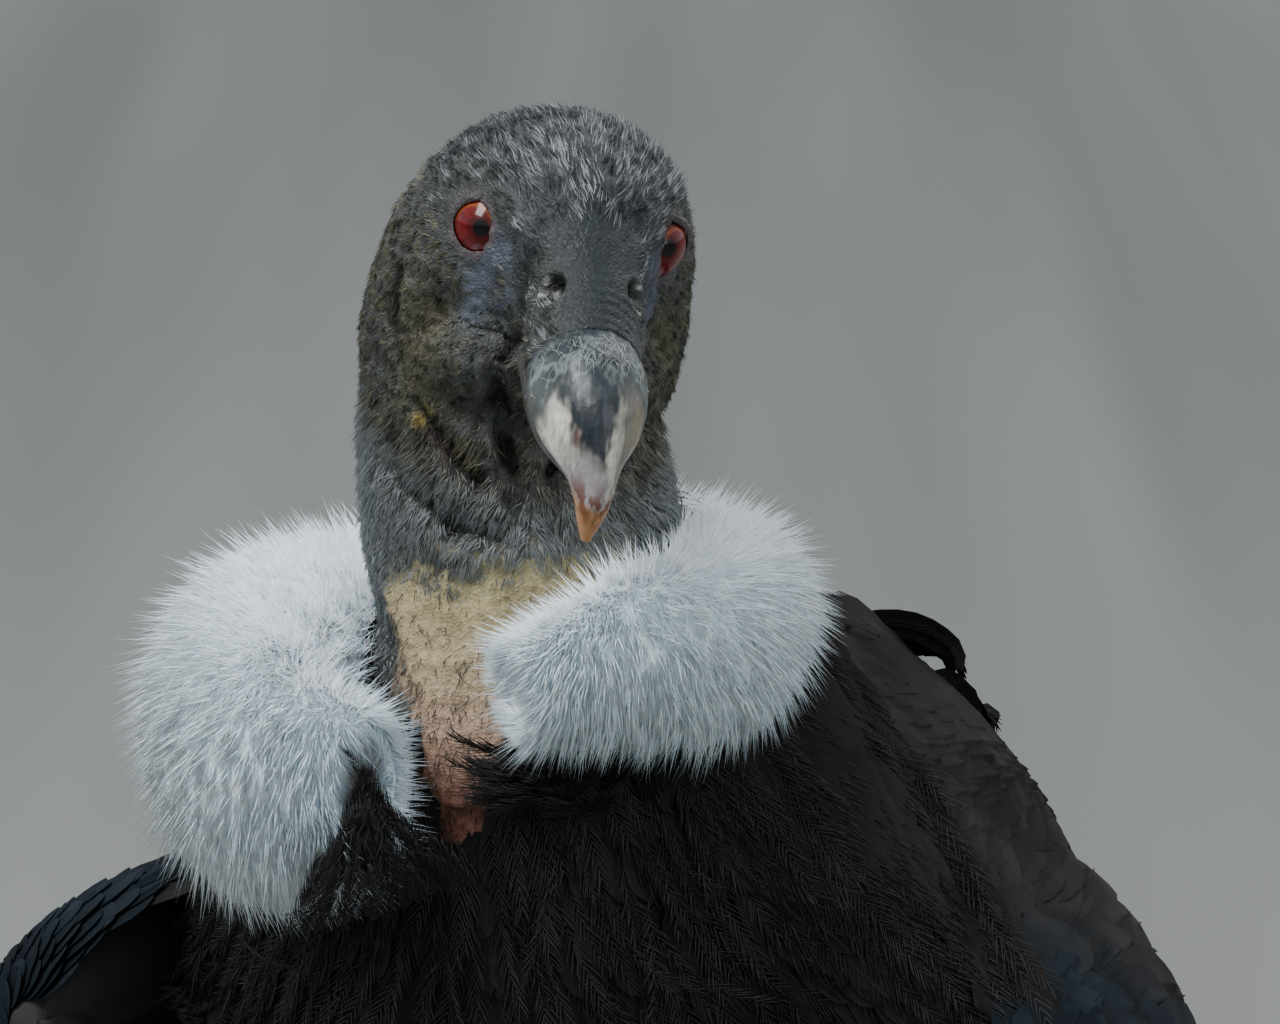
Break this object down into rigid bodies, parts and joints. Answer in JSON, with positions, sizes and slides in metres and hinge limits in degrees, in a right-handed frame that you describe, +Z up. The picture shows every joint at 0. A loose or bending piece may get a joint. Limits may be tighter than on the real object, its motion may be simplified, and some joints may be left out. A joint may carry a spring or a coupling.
{
  "type": "andean condor",
  "caption": "Life-size still model of a standing adult female Andean condor, hunched at rest with its bare head turned and a white down ruff.",
  "frame": {"origin": "on the floor, under the middle of the bird's box", "axes": "+Z up, the bird's breast faces -Y and its tail +Y, so its left side is +X"},
  "size_m": [0.338, 0.7404, 0.7026],
  "materials": {
    "head_skin": "wrinkled bare skin with short black and grey bristles",
    "neck_skin": "bare ochre and pink throat skin, wrinkled",
    "feathers": "black feathers with a dull blue and brown sheen, grey and white panel on the folded wing",
    "down": "dense soft white down",
    "bill_horn": "horn, ivory at the sides and slate blue along the ridge, worn",
    "eye": "wet, deep red iris with a black pupil",
    "leg_skin": "dry grey scales",
    "claw": "dark worn horn"
  },
  "bodies": {
    "root": {"head": "head_skin", "neck": "neck_skin", "bill_upper": "bill_horn", "bill_lower": "bill_horn", "eye_left": "eye", "eye_right": "eye", "ruff_left": "down", "ruff_right": "down", "torso": "feathers", "tail": "feathers", "wing_left": "feathers", "wing_right": "feathers", "thigh_left": "feathers", "thigh_right": "feathers", "tarsus_left": "leg_skin", "foot_left": "leg_skin", "tarsus_right": "leg_skin", "foot_right": "leg_skin", "claw_left_inner": "claw", "claw_left_middle": "claw", "claw_left_outer": "claw", "claw_left_hind": "claw", "claw_right_inner": "claw", "claw_right_middle": "claw", "claw_right_outer": "claw", "claw_right_hind": "claw"}
  },
  "joints": []
}
